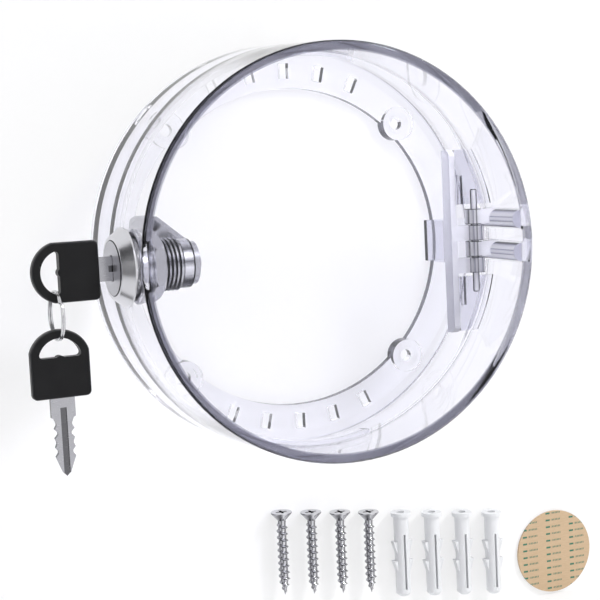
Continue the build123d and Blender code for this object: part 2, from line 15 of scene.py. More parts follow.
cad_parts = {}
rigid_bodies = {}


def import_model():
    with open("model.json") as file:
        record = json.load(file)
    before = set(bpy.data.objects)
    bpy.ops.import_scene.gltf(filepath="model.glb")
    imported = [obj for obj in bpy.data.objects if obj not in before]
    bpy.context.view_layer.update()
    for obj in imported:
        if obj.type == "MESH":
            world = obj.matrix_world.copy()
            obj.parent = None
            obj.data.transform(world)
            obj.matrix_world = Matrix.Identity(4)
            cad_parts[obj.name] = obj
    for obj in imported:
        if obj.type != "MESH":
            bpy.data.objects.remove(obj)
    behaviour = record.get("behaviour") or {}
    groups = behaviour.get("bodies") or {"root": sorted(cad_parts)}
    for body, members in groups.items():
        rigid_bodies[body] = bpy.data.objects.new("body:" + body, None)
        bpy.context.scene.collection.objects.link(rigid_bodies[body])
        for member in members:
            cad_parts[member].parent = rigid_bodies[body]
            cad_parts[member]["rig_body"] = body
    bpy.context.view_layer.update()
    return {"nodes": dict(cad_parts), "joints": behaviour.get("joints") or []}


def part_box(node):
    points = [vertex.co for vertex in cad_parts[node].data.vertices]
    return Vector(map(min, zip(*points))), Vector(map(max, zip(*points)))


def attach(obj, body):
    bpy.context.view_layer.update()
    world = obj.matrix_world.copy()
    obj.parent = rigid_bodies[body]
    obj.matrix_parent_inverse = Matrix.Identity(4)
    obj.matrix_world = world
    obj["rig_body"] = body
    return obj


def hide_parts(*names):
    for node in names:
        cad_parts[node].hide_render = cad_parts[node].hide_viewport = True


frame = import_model()
MM = 0.001

# %% [markdown]
# The camera stands to the left of the box and a little above its axis, close enough for a strong
# perspective. A camera can be aimed with a Track To constraint, but a matrix built from the three
# view directions also holds a small roll, so that way is used.

# %% Camera
IMAGE = 600
FOCAL_PX = 1369.3
CAMERA_PLACE = Vector((-191.2, -505.1, 22.5)) * MM
CAMERA_TURN = math.radians(21.16)
CAMERA_DIP = math.radians(4.59)
BOX_LEAN = math.radians(3.0)
SENSOR_WIDTH = 36.0
PICTURE_CENTRE = (298.9, 300.3)


def make_camera():
    data = bpy.data.cameras.new("camera")
    data.sensor_width = SENSOR_WIDTH
    data.lens = FOCAL_PX / IMAGE * data.sensor_width
    data.clip_start = 0.01
    data.shift_x = (IMAGE / 2 - PICTURE_CENTRE[0]) / IMAGE
    data.shift_y = (PICTURE_CENTRE[1] - IMAGE / 2) / IMAGE
    forward = Vector((math.sin(CAMERA_TURN) * math.cos(CAMERA_DIP),
                      math.cos(CAMERA_TURN) * math.cos(CAMERA_DIP), -math.sin(CAMERA_DIP)))
    right = Vector((math.cos(CAMERA_TURN), -math.sin(CAMERA_TURN), 0))
    up = right.cross(forward)
    aim = Matrix((right, up, -forward)).transposed().to_4x4()
    aim.translation = CAMERA_PLACE
    camera = bpy.data.objects.new("camera", data)
    camera.matrix_world = Matrix.Rotation(BOX_LEAN, 4, "Y") @ aim
    bpy.context.scene.collection.objects.link(camera)
    bpy.context.scene.camera = camera
    return camera


camera = make_camera()
print("camera at", [round(v, 3) for v in camera.matrix_world.translation])

# %% [markdown]
# Procedural finishes need arithmetic between node sockets. Wiring each Math node by hand hides the
# idea, so a small class wraps a socket: an expression such as 1 - mask * 0.2 adds the nodes itself.
# One method, node(), makes every other node from its type, its settings and its inputs. A material
# adds the steps that many finishes share, such as a noise cloud, a colour ramp or a bump.


# %% Shader expressions
def colour(r, g, b):
    """A colour with full alpha."""
    return (r, g, b, 1.0)


class Socket:
    """An output socket that adds Math nodes when it is used in an expression."""

    def __init__(self, nodes, socket):
        self.nodes = nodes
        self.socket = socket

    def math(self, operation, *others):
        made = self.nodes.node("ShaderNodeMath", {"operation": operation},
                               dict(enumerate((self,) + others)))
        return made[0]

    def __add__(self, other):
        return self.math("ADD", other)

    def __mul__(self, other):
        return self.math("MULTIPLY", other)

    def __sub__(self, other):
        return self.math("SUBTRACT", other)

    def __rsub__(self, other):
        return (self * -1.0) + other

    def __truediv__(self, other):
        return self.math("DIVIDE", other)

    def __pow__(self, other):
        return self.math("POWER", other)

    __radd__ = __add__
    __rmul__ = __mul__

    def clamp(self):
        return self.math("MAXIMUM", 0.0).math("MINIMUM", 1.0)

    def above(self, edge):
        return self.math("GREATER_THAN", edge)


class Made:
    """A node whose outputs are read by name or number."""

    def __init__(self, nodes, node):
        self.nodes = nodes
        self.node = node

    def __getitem__(self, key):
        return Socket(self.nodes, self.node.outputs[key])


class Nodes:
    """A tree of shader nodes, of a material or of the world."""

    def __init__(self, tree):
        self.tree = tree

    def node(self, kind, settings=None, inputs=None):
        node = self.tree.nodes.new(kind)
        for key, value in (settings or {}).items():
            if key == "stops":
                self.fill_ramp(node.color_ramp, value)
            else:
                setattr(node, key, value)
        for key, value in (inputs or {}).items():
            self.feed(node.inputs[key], value)
        return Made(self, node)

    def fill_ramp(self, ramp, stops):
        while len(ramp.elements) < len(stops):
            ramp.elements.new(0.5)
        for element, (place, tone) in zip(ramp.elements, stops):
            element.position = place
            element.color = colour(*tone)

    def feed(self, target, value):
        if isinstance(value, Socket):
            self.tree.links.new(value.socket, target)
        else:
            target.default_value = value


class Finish(Nodes):
    """One material, written as expressions."""

    def __init__(self, name, tone, metallic=0.0, roughness=0.4):
        self.material = bpy.data.materials.new(name)
        self.material.use_nodes = True
        self.material.diffuse_color = colour(*tone)
        super().__init__(self.material.node_tree)
        self.shader = self.tree.nodes["Principled BSDF"]
        self.output = self.tree.nodes["Material Output"]
        self.set("Base Color", colour(*tone))
        self.set("Metallic", metallic)
        self.set("Roughness", roughness)

    def set(self, name, value):
        self.feed(self.shader.inputs[name], value)

    def place(self):
        """Position on the object in metres."""
        return self.node("ShaderNodeTexCoord")["Object"]

    def slope(self, name):
        """One part of the surface's normal, along the object's own axes."""
        return self.axis(self.node("ShaderNodeTexCoord")["Normal"], name)

    def axis(self, place, name):
        return self.node("ShaderNodeSeparateXYZ", None, {0: place})[name]

    def ramp(self, where, stops):
        """Colours by a number from 0 to 1."""
        return self.node("ShaderNodeValToRGB", {"stops": stops}, {0: where})[0]

    def stretch(self, place, x, y, z):
        return self.node("ShaderNodeVectorMath", {"operation": "MULTIPLY"},
                         {0: place, 1: (x, y, z)})[0]

    def cloud(self, place, scale, detail=3.0, roughness=0.5):
        made = self.node("ShaderNodeTexNoise", None,
                         {"Vector": place, "Scale": scale, "Detail": detail, "Roughness": roughness})
        return made[0]

    def mix(self, factor, a, b):
        made = self.node("ShaderNodeMix", {"data_type": "RGBA"}, {0: factor, 6: a, 7: b})
        return made[2]

    def bump(self, height, depth, strength=1.0):
        made = self.node("ShaderNodeBump", None,
                         {"Height": height, "Distance": depth, "Strength": strength})
        self.set("Normal", made[0])

    def own(self):
        """The material's own Principled shader."""
        return Socket(self, self.shader.outputs[0])

    def wear(self, factor, first, second):
        """A mix of two shaders becomes the surface."""
        made = self.node("ShaderNodeMixShader", None, {0: factor, 1: first, 2: second})
        self.feed(self.output.inputs[0], made[0])


print("helpers:", Socket.__name__, Made.__name__, Nodes.__name__, Finish.__name__)

# %% [markdown]
# The shells are polished clear plastic. Real glass blocks lamp light here unless caustics are
# traced, so shadow rays pass through a faint tint instead: the box keeps a soft, light shadow.
# A white studio mirrors in every face and would wash the inside out, so the tint of those
# reflections is kept low.
# The eye reads clear plastic by its rims, where light is trapped and leaves lilac-grey bands with
# thin dark lines. These are painted shade: each rim is a range of radius and depth, so a few masks
# of position paint them. The opening's edge and the cover's wings get painted shade the same way.


# %% Rims of the clear shells
COVER_LOW, COVER_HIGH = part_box("cover")
BASE_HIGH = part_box("base_ring")[1]
FRONT_Y = COVER_LOW.y
PARTING_Y = COVER_HIGH.y
PARTING_RADIUS = COVER_HIGH.z
BACK_RADIUS = BASE_HIGH.z
FRONT_RADIUS = 75.0 * MM
OPENING_RADIUS = BACK_RADIUS - 17.0 * MM
WALL = 3.0 * MM
PLATE = 3.2 * MM
FAR = 1.0
# Tones of painted shade for the clear shells' rims, edges and wings.
LILAC = (0.84, 0.84, 0.90)
DUSK = (0.70, 0.70, 0.77)
INK = (0.03, 0.03, 0.04)
LEAD = (0.26, 0.26, 0.31)
SMOKE = (0.74, 0.74, 0.82)
WING_FRONT = PARTING_Y - 7.7 * MM
WING_DEPTH = 1.8 * MM
WING_EDGE = 57.3 * MM
WING_RADIUS = 71.0 * MM
GROOVE_X = 59.4 * MM
GROOVE_HALF = 0.8 * MM
GROOVE_HALF_LENGTH = 25.2 * MM
LINE = 0.14 * MM
EDGE_MARGIN = 0.6 * MM
WING_MARGIN = 0.1 * MM
STEEP = 0.5
# Each painted rim: its name, inner and outer radius, front and back depth, and colour of its painted
# shade.
RIMS = [
    ("front face rim", FRONT_RADIUS - WALL - 0.3 * MM, FAR, -FAR, FRONT_Y + 0.3 * MM, LILAC),
    ("front outer line", FRONT_RADIUS - 0.5 * MM, FAR, -FAR, FRONT_Y + 1.3 * MM, DUSK),
    ("front inner line", FRONT_RADIUS - WALL - 0.4 * MM, FRONT_RADIUS - WALL + 0.6 * MM,
     FRONT_Y + PLATE - 0.2 * MM, FRONT_Y + PLATE + 0.2 * MM, LEAD),
    ("cover edge", PARTING_RADIUS - WALL - 0.5 * MM, FAR, PARTING_Y - 0.35 * MM, PARTING_Y, LEAD),
    ("base edge", PARTING_RADIUS - WALL - 0.5 * MM, FAR, PARTING_Y, PARTING_Y + 0.25 * MM, LEAD),
    ("wall edge", BACK_RADIUS - 1.0 * MM, FAR, -0.8 * MM, FAR, LILAC),
    ("wall line", BACK_RADIUS - 0.3 * MM, FAR, -0.25 * MM, FAR, LEAD),
]


def tint_with_painted_shade(finish, place, tint):
    """The tint of the plastic, with painted shade laid over it for its rims, the opening's edge and the
    cover's wings.
    """
    x, y, z = (finish.axis(place, name) for name in "XYZ")
    radius = (x * x + z * z) ** 0.5
    result = colour(*tint)
    for name, inner, outer, near, far, shade in RIMS:
        band = radius.above(inner) * (1.0 - radius.above(outer))
        mask = band * y.above(near) * (1.0 - y.above(far))
        result = finish.mix(mask, result, colour(*shade))
    # The opening's edge: near-black painted shade where the wall faces neither front nor back.
    facing_front = finish.slope("Y").math("ABSOLUTE").above(STEEP)
    opening = (1.0 - radius.above(OPENING_RADIUS + EDGE_MARGIN)) * (1.0 - facing_front)
    result = finish.mix(opening, result, colour(*INK))
    # The cover's wings: grey painted shade, with dark painted lines on both flanks of their groove.
    wing = (y.above(WING_FRONT - WING_MARGIN)
            * (1.0 - y.above(WING_FRONT + WING_DEPTH + WING_MARGIN))
            * x.above(WING_EDGE) * (1.0 - radius.above(WING_RADIUS)))
    result = finish.mix(wing, result, colour(*SMOKE))
    flank = ((x - GROOVE_X).math("ABSOLUTE") - GROOVE_HALF).math("ABSOLUTE")
    groove = (1.0 - flank.above(LINE)) * (1.0 - z.math("ABSOLUTE").above(GROOVE_HALF_LENGTH))
    return finish.mix(wing * groove, result, colour(*INK))


# %% Clear plastic
def clear_plastic(name, tint, haze, shade):
    finish = Finish(name, tint, 0.0, haze)
    finish.set("Transmission Weight", 1.0)
    finish.set("IOR", 1.56)
    finish.set("Specular Tint", colour(0.35, 0.35, 0.38))
    place = finish.place()
    finish.set("Base Color", tint_with_painted_shade(finish, place, tint))
    smears = finish.cloud(place, 55.0, 2.0)
    finish.set("Roughness", haze + (smears - 0.5).clamp() * 0.03)
    shadow_ray = finish.node("ShaderNodeLightPath")["Is Shadow Ray"]
    through = finish.node("ShaderNodeBsdfTransparent", None, {"Color": colour(*shade)})
    finish.wear(shadow_ray, finish.own(), through[0])
    return finish.material


shell_clear = clear_plastic("shell_clear", (0.955, 0.955, 0.985), 0.0, (0.92, 0.92, 0.95))
print("clear finish:", shell_clear.name, "with", ", ".join(rim[0] for rim in RIMS))

# %% [markdown]
# Small clear parts inside a clear box turn black when every ray is traced through both. They get
# painted highlights and shade instead, the way a glass rod looks: bright along its middle, grey on
# its flanks, with a dark outline. One number says where on that cross-section a point lies, and a
# ramp holds the section. A rod along Y reads it from the height of its normal, a strip from the
# sideways part of its normal, and an upright pin from how much it faces the eye. Knuckles get
# painted stripes of their own.


# %% Outlined clear plastic
# Tones of the painted highlights and shade on the small clear parts.
BRIGHT = (0.97, 0.97, 1.0)
GREY = (0.20, 0.20, 0.25)
PALE = (0.60, 0.60, 0.68)
DARK = (0.015, 0.015, 0.02)
ARM_STOPS = [(0.0, BRIGHT), (0.16, PALE), (0.26, GREY), (0.33, BRIGHT), (0.58, BRIGHT), (0.72, PALE),
             (0.84, GREY), (0.93, DARK)]
STRIP_STOPS = [(0.0, BRIGHT), (0.35, PALE), (0.50, DARK), (0.64, PALE), (0.9, PALE), (1.0, SMOKE)]
PIN_STOPS = [(0.0, BRIGHT), (0.18, PALE), (0.34, DARK)]
KNUCKLE_STOPS = [(0.0, BRIGHT), (0.05, DARK), (0.12, BRIGHT), (0.24, GREY), (0.30, BRIGHT),
                 (0.40, DARK), (0.46, BRIGHT), (0.62, PALE), (0.70, DARK), (0.78, BRIGHT),
                 (0.90, GREY)]
KNUCKLE_REACH = 3.75 * MM
KNUCKLE_PITCH = 6.2 * MM
KNUCKLE_LINE = 0.07
STRIP_LOW, STRIP_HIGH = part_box("base_hinge_strip")
STRIP_FADE = STRIP_LOW.y + 8.6 * MM
STRIP_DARKENING = 0.45
ARM_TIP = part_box("cover_hinge_arm_1")[0].y + 0.4 * MM
FADE = 0.85
SHADOW_CUT = 0.8


def joint(name):
    """The frame's joint of that name."""
    return next(one for one in frame["joints"] if one["name"] == name)


HINGE = Vector(joint("cover_hinge")["pos_m"])


def knuckle_shade(finish, place, shade):
    """Painted highlight and shade stripes round a knuckle, and a dark line where one knuckle meets the
    next.
    """
    x, y, z = (finish.axis(place, name) for name in "XYZ")
    across, ahead = x - HINGE.x, y - HINGE.y
    near = 1.0 - ((across * across + ahead * ahead) ** 0.5).above(KNUCKLE_REACH)
    stripes = finish.ramp(finish.slope("X") * 0.5 + 0.5, KNUCKLE_STOPS)
    step = ((z / KNUCKLE_PITCH).math("FRACT") - 0.5).math("ABSOLUTE")
    stripes = finish.mix(step.above(0.5 - KNUCKLE_LINE), stripes, colour(*DARK))
    return finish.mix(near, shade, stripes)


def rod_clear(name, section, stops, body, fade_behind=None):
    """Plastic with painted highlights and shade by the stops across its section; behind fade_behind it
    is nearly gone.
    """
    finish = Finish(name, stops[0][1], 0.0, 0.10)
    place = finish.place()
    if section == "facing":
        shade = finish.ramp(finish.node("ShaderNodeLayerWeight", None, {"Blend": 0.5})["Facing"], stops)
    else:
        shade = finish.ramp(finish.slope(section).math("ABSOLUTE"), stops)
        shade = knuckle_shade(finish, place, shade)
    if section == "Z":
        # Pale painted shade on the arms' front ends.
        tip = 1.0 - finish.axis(place, "Y").above(ARM_TIP)
        shade = finish.mix(tip, shade, colour(*PALE))
    if section == "X":
        # Painted shade on the strip, darker towards the bottom.
        fall = ((finish.axis(place, "Z") - STRIP_HIGH.z) / (STRIP_LOW.z - STRIP_HIGH.z)).clamp()
        shade = finish.mix(fall * STRIP_DARKENING, shade, colour(*GREY))
    flow = finish.cloud(finish.stretch(place, 700, 120, 700), 1.0, 2.0)
    finish.set("Base Color", shade)
    finish.set("Roughness", 0.06 + flow * 0.10)
    finish.set("Specular IOR Level", 0.30)
    dark = 1.0 - finish.node("ShaderNodeSeparateColor", None, {0: shade})["Green"]
    amount = body + dark * (1.0 - body)
    if fade_behind is not None:
        amount = amount * (1.0 - finish.axis(place, "Y").above(fade_behind) * FADE)
    through = finish.node("ShaderNodeBsdfTransparent", None, {"Color": colour(0.95, 0.95, 0.98)})
    shadow_ray = finish.node("ShaderNodeLightPath")["Is Shadow Ray"]
    finish.wear(amount * (1.0 - shadow_ray * SHADOW_CUT), through[0], finish.own())
    return finish.material


arm_clear = rod_clear("arm_clear", "Z", ARM_STOPS, 0.55)
strip_clear = rod_clear("strip_clear", "X", STRIP_STOPS, 0.45, STRIP_FADE)
pin_clear = rod_clear("pin_clear", "facing", PIN_STOPS, 0.70)
print("outlined finishes:", arm_clear.name, strip_clear.name, pin_clear.name)

# %% [markdown]
# The lock is satin chrome over a turned casting. Its bezel shows rings left by the polishing
# wheel around the lock's own axis, so the brushing follows the distance from that axis. The barrel
# inside the box would mirror only white, so painted reflections, bands by the height of its normal,
# stand for the darker things around it. The thread grooves and the barrel past its end get
# near-black painted shade, and a thin seam on the head is near-black too.

# %% Satin chrome with turning marks
LOCK_SEAT = Vector(joint("key_turn")["pos_m"])
LOCK_AXIS = Vector(joint("key_turn")["axis"]).normalized()
LOCK_SIDE = LOCK_AXIS.cross(Vector((0, 0, 1)))
THREAD_START = 10.3 * MM
THREAD_END = 17.9 * MM
THREAD_ROOT = 8.95 * MM
BARREL_END = 21.2 * MM
SHEEN_START = 4.0 * MM
SHEEN_STOPS = [(0.0, (0.10, 0.10, 0.12)), (0.18, (0.06, 0.06, 0.07)), (0.30, (0.62, 0.62, 0.66)),
               (0.44, (0.80, 0.80, 0.84)), (0.56, (0.22, 0.22, 0.25)), (0.66, (0.86, 0.86, 0.90)),
               (0.80, (0.14, 0.14, 0.16)), (0.92, (0.55, 0.55, 0.60))]
HEAD_FRONT = -4.4 * MM
HEAD_GAP = (9.45 * MM, 9.80 * MM)


def lock_offset(finish, place):
    return finish.node("ShaderNodeVectorMath", {"operation": "SUBTRACT"},
                       {0: place, 1: tuple(LOCK_SEAT)})[0]


def dot(finish, a, b):
    return finish.node("ShaderNodeVectorMath", {"operation": "DOT_PRODUCT"}, {0: a, 1: b})[1]


def lock_place(finish, place):
    """Distance along the lock's axis, inwards from the wall, and distance from that axis."""
    offset = lock_offset(finish, place)
    along = dot(finish, offset, tuple(LOCK_AXIS))
    return along, (dot(finish, offset, offset) - along * along) ** 0.5


def turned_metal(name, tone, roughness, marks):
    finish = Finish(name, tone, 1.0, roughness)
    place = finish.place()
    along, radius = lock_place(finish, place)
    rings = finish.cloud(finish.node("ShaderNodeCombineXYZ", None, {0: radius * 900.0})[0], 6.0, 2.0)
    stains = finish.cloud(place, 160.0, 3.0)
    # Near-black painted shade in the thread grooves and past the barrel's end; the seam is a dark ring
    # on the head.
    groove = (along.above(THREAD_START) * (1.0 - along.above(THREAD_END))
              * (1.0 - radius.above(THREAD_ROOT)))
    inner, outer = HEAD_GAP
    seam = radius.above(inner) * (1.0 - radius.above(outer)) * (1.0 - along.above(HEAD_FRONT))
    painted_shade_and_seam = (groove + along.above(BARREL_END) + seam).clamp()
    # Painted reflection bands by the height of the normal, on the barrel past SHEEN_START.
    sheen = finish.ramp(finish.slope("Z") * 0.5 + 0.5, SHEEN_STOPS)
    metal = finish.mix(along.above(SHEEN_START), colour(*tone), sheen)
    finish.set("Base Color", finish.mix(painted_shade_and_seam, metal, colour(0.008, 0.008, 0.010)))
    finish.set("Roughness", roughness + (rings - 0.5) * marks + (stains - 0.5) * 0.10)
    finish.bump(rings, 0.00002, 0.35)
    return finish.material


lock_chrome = turned_metal("lock_chrome", (0.66, 0.66, 0.69), 0.24, 0.14)
plug_satin = turned_metal("plug_satin", (0.47, 0.47, 0.50), 0.30, 0.16)
print("turned finishes:", lock_chrome.name, plug_satin.name)

# %% [markdown]
# Nuts, screws and the split ring are plated steel: bright, with faint long scratches and a slightly
# cloudy plated skin. Stretched noise makes the scratches run one way. Screws lie on white, so their
# dark flanks are painted reflection bands, and a key blade gets painted shade in the groove along
# its faces.

# %% Plated steel
BLADE_GROOVE = 0.8 * MM
# Painted reflection bands for the screws, bright and dark by the slope of the normal.
SCREW_STOPS = [(0.0, (0.10, 0.10, 0.11)), (0.14, (0.45, 0.45, 0.48)), (0.30, (0.12, 0.12, 0.13)),
               (0.44, (0.60, 0.60, 0.63)), (0.56, (0.60, 0.60, 0.63)), (0.70, (0.16, 0.16, 0.17)),
               (0.84, (0.55, 0.55, 0.58)), (1.0, (0.08, 0.08, 0.09))]


def plated_steel(name, tone, roughness, grain, groove=None, sheen=None):
    finish = Finish(name, tone, 1.0, roughness)
    place = finish.place()
    streak = finish.cloud(finish.stretch(place, *grain), 1.0, 4.0)
    blush = finish.cloud(place, 260.0, 3.0)
    plating_and_painted_shade = finish.mix(blush, colour(*[v * 0.88 for v in tone]), colour(*tone))
    if groove is not None:
        # Painted shade, dark in the groove near the blade's middle plane.
        depth = dot(finish, lock_offset(finish, place), tuple(LOCK_SIDE)).math("ABSOLUTE")
        plating_and_painted_shade = finish.mix(1.0 - depth.above(groove), plating_and_painted_shade, colour(*[v * 0.30 for v in tone]))
    if sheen is not None:
        # Painted reflection bands, bright and dark by the sideways slope of the normal.
        plating_and_painted_shade = finish.ramp(finish.slope("X") * 0.5 + 0.5, sheen)
    finish.set("Base Color", plating_and_painted_shade)
    finish.set("Roughness", roughness + (streak - 0.5) * 0.22)
    finish.bump(streak, 0.00002, 0.3)
    return finish.material


nut_steel = plated_steel("nut_steel", (0.50, 0.50, 0.54), 0.20, (300, 4000, 400))
pin_steel = plated_steel("pin_steel", (0.66, 0.66, 0.70), 0.16, (3000, 3000, 120))
ring_steel = plated_steel("ring_steel", (0.66, 0.66, 0.68), 0.17, (900, 900, 900))
screw_steel = plated_steel("screw_steel", (0.60, 0.60, 0.63), 0.16, (2500, 2500, 300),
                           sheen=SCREW_STOPS)
blade_nickel = plated_steel("blade_nickel", (0.46, 0.46, 0.49), 0.24, (500, 900, 3500),
                            groove=BLADE_GROOVE)
wafer_brass = plated_steel("wafer_brass", (0.76, 0.58, 0.28), 0.30, (900, 2600, 900))
plated = [nut_steel, pin_steel, ring_steel, screw_steel, blade_nickel, wafer_brass]
print("plated finishes:", *[material.name for material in plated])

# %% [markdown]
# Key heads are black injection-moulded plastic with a fine spark-eroded grain, and the gasket is a
# duller rubber. Both are small bumps on a near-black base. The rounded edges of the key heads get
# a painted highlight, so those are a little lighter.

# %% Black mouldings
EDGE_SLOPE = 0.74
EDGE_SHARPNESS = 5.0


def grained(name, tone, roughness, grain_scale, depth, shine, edge=None):
    finish = Finish(name, tone, 0.0, roughness)
    place = finish.place()
    finish.set("Specular IOR Level", shine)
    grain = finish.cloud(place, grain_scale, 4.0, 0.7)
    wear = finish.cloud(place, 180.0, 2.0)
    lighter = colour(*[v + 0.004 for v in tone])
    skin = finish.mix(wear, colour(*tone), lighter)
    if edge is not None:
        # A painted highlight on the rounded edges, where the normal turns away from the flat faces.
        flat = finish.slope("Y").math("ABSOLUTE")
        painted_edge_highlight = (1.0 - (flat - EDGE_SLOPE).math("ABSOLUTE") * EDGE_SHARPNESS).clamp()
        skin = finish.mix(painted_edge_highlight, skin, colour(*edge))
    finish.set("Base Color", skin)
    finish.set("Roughness", roughness + (wear - 0.5) * 0.15)
    finish.bump(grain, depth, 0.6)
    return finish.material


key_black = grained("key_black", (0.003, 0.003, 0.004), 0.36, 4200.0, 0.00005, 0.20,
                    edge=(0.055, 0.055, 0.06))
gasket_rubber = grained("gasket_rubber", (0.016, 0.016, 0.017), 0.62, 2400.0, 0.00008, 0.28)
print("black finishes:", key_black.name, gasket_rubber.name)

# %% [markdown]
# Wall anchors are milky nylon. Real nylon scatters light below its skin; at this size a soft white
# with slight transmission reads the same and costs less. The disc's liner is tan paper.

# %% Nylon and release paper
DASH_ROW = 3.0 * MM
DASH_STEP = 11.5 * MM
DASH_SHIFT = 40.3
ROW_SHIFT = 40.0
DASH_HEIGHT = 0.26
DASH_BLOCK = 0.18
DASH_GAP = 0.24
DASH_END = 0.62
DASH_TEETH = 16.0
TOOTH_GAP = 0.45


def milky_nylon():
    finish = Finish("milky_nylon", (0.86, 0.87, 0.89), 0.0, 0.34)
    finish.set("Transmission Weight", 0.2)
    flow = finish.cloud(finish.stretch(finish.place(), 900, 900, 160), 1.0, 2.0)
    finish.set("Roughness", 0.30 + flow * 0.14)
    finish.bump(flow, 0.00003, 0.3)
    return finish.material


def release_paper():
    """Tan paper with rows of plain green marks: a block, then a row of fine ticks."""
    finish = Finish("release_paper", (0.62, 0.46, 0.30), 0.0, 0.62)
    place = finish.place()
    fibre = finish.cloud(finish.stretch(place, 500, 500, 2600), 1.0, 4.0)
    paper_tone = finish.mix(fibre, colour(0.47, 0.33, 0.20), colour(0.58, 0.43, 0.28))
    row = (finish.axis(place, "Z") / DASH_ROW + ROW_SHIFT).math("FRACT")
    along = (finish.axis(place, "X") / DASH_STEP + DASH_SHIFT).math("FRACT")
    block = 1.0 - along.above(DASH_BLOCK)
    comb = (along * DASH_TEETH).math("FRACT").above(TOOTH_GAP)
    ticks = along.above(DASH_GAP) * (1.0 - along.above(DASH_END)) * comb
    dash = (1.0 - row.above(DASH_HEIGHT)) * (block + ticks)
    finish.set("Base Color", finish.mix(dash, paper_tone, colour(0.04, 0.16, 0.10)))
    finish.bump(fibre, 0.00004, 0.4)
    return finish.material


nylon = milky_nylon()
paper = release_paper()
print("kit finishes:", nylon.name, paper.name)

# %% [markdown]
# A node of the frame keeps its mesh and only gets a new material in its slots. A table of nodes
# and finishes shows at a glance which pieces share one.

# %% Finishes on the frame's own nodes
FINISHES = {
    "base_ring": shell_clear, "cover": shell_clear, "base_hinge_strip": strip_clear,
    "cover_hinge_arm_1": arm_clear, "cover_hinge_arm_2": arm_clear, "hinge_pin": pin_clear,
    "lock_housing": lock_chrome, "lock_gasket": gasket_rubber, "lock_nut": nut_steel,
    "lock_plug": plug_satin, "cam": nut_steel, "cam_washer": pin_steel, "cam_screw": screw_steel,
    "key_head": key_black, "spare_key_head": key_black, "key_blade": blade_nickel,
    "spare_key_blade": blade_nickel, "split_ring": ring_steel, "mounting_screws": screw_steel,
    "wall_anchors": nylon, "adhesive_disc": paper,
}
for number in range(1, 6):
    FINISHES[f"wafer_{number}"] = wafer_brass


def dress(node, material):
    mesh_object = frame["nodes"][node]
    for slot in mesh_object.material_slots:
        slot.material = material


for node, material in FINISHES.items():
    dress(node, material)
print("dressed", len(FINISHES), "nodes")

# %% [markdown]
# The screws and the split ring need a finer form than their solids. Both are made from rows of
# points, where each row is a closed loop and faces join it to the next. Curve objects could sweep
# the ring too, but rows of points serve both pieces.

# %% Meshes from rows of points
CREASE = math.radians(38)


def smooth_by_angle(mesh, limit):
    """Smooth shading with sharp edges where two faces turn by more than the limit."""
    work = bmesh.new()
    work.from_mesh(mesh)
    bmesh.ops.recalc_face_normals(work, faces=work.faces)
    for face in work.faces:
        face.smooth = True
    for edge in work.edges:
        edge.smooth = edge.calc_face_angle(0.0) < limit
    work.to_mesh(mesh)
    work.free()


def grid_mesh(rows):
    """Mesh from rows of points, each row a closed loop, with both ends closed."""
    count = len(rows[0])
    points = [point for row in rows for point in row]
    faces = [(r * count + c, r * count + (c + 1) % count,
              (r + 1) * count + (c + 1) % count, (r + 1) * count + c)
             for r in range(len(rows) - 1) for c in range(count)]
    last = (len(rows) - 1) * count
    faces += [tuple(reversed(range(count))), tuple(range(last, last + count))]
    mesh = bpy.data.meshes.new("grid")
    mesh.from_pydata(points, [], faces)
    smooth_by_angle(mesh, CREASE)
    return mesh


def piece(name, mesh, material, *nodes):
    """A mesh of the object that stands for CAD nodes and rides on their body."""
    made = bpy.data.objects.new(name, mesh)
    made.data.materials.append(material)
    bpy.context.scene.collection.objects.link(made)
    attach(made, frame["nodes"][nodes[0]]["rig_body"])
    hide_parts(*nodes)
    return made


print("edges stay sharp above", round(math.degrees(CREASE)), "degrees")

# %% [markdown]
# A screw thread is a ridge whose height depends on one phase: the distance along the screw minus
# the turn around it. So a plain grid of rows and columns, with its radius read from that phase,
# gives a true helix. Near the tip the core and the ridge both run out to a point.

# %% Screw profile
SCREW_LENGTH = 33.6 * MM
SCREW_HEAD = 4.2 * MM
SCREW_HEAD_HEIGHT = 3.4 * MM
SCREW_CORE = 1.55 * MM
SCREW_CREST = 2.35 * MM
SCREW_PITCH = 2.6 * MM
SCREW_TIP = 6.0 * MM
HEAD_RIM = 0.45 * MM
RIDGE_HALF = 0.26
RIDGE_FADE = 1.6
TIP_BULGE = 0.8
FINEST = 0.05 * MM


def screw_radius(depth, turn):
    """Radius of the screw at a depth below its head's top and a turn from 0 to 1."""
    if depth < SCREW_HEAD_HEIGHT:
        share = max(0.0, (depth - HEAD_RIM) / (SCREW_HEAD_HEIGHT - HEAD_RIM))
        return SCREW_HEAD + (SCREW_CORE - SCREW_HEAD) * share
    taper = min(1.0, max(0.0, (SCREW_LENGTH - depth) / SCREW_TIP))
    start = min(1.0, (depth - SCREW_HEAD_HEIGHT) / SCREW_PITCH)
    phase = (depth / SCREW_PITCH - turn) % 1.0
    ridge = max(0.0, 1.0 - abs(phase - 0.5) / RIDGE_HALF)
    core = SCREW_CORE * taper ** TIP_BULGE
    return core + (SCREW_CREST - SCREW_CORE) * ridge * start * min(1.0, taper * RIDGE_FADE)


def screw_rows(top, columns=36, rows=240):
    """Rows of points down one screw, from the middle of its head's top."""
    result = []
    for r in range(rows + 1):
        depth = SCREW_LENGTH * r / rows
        loop = []
        for c in range(columns):
            angle = 2 * math.pi * c / columns
            radius = max(screw_radius(depth, c / columns), FINEST)
            loop.append((top.x + radius * math.cos(angle), top.y + radius * math.sin(angle),
                         top.z - depth))
        result.append(loop)
    return result


print("turns of thread:", round((SCREW_LENGTH - SCREW_HEAD_HEIGHT) / SCREW_PITCH, 1))

# %% [markdown]
# The cross recess in the head could be modelled face by face. A Boolean modifier that takes two
# thin boxes away gives the same four clean slots, and its result is kept as a plain mesh.

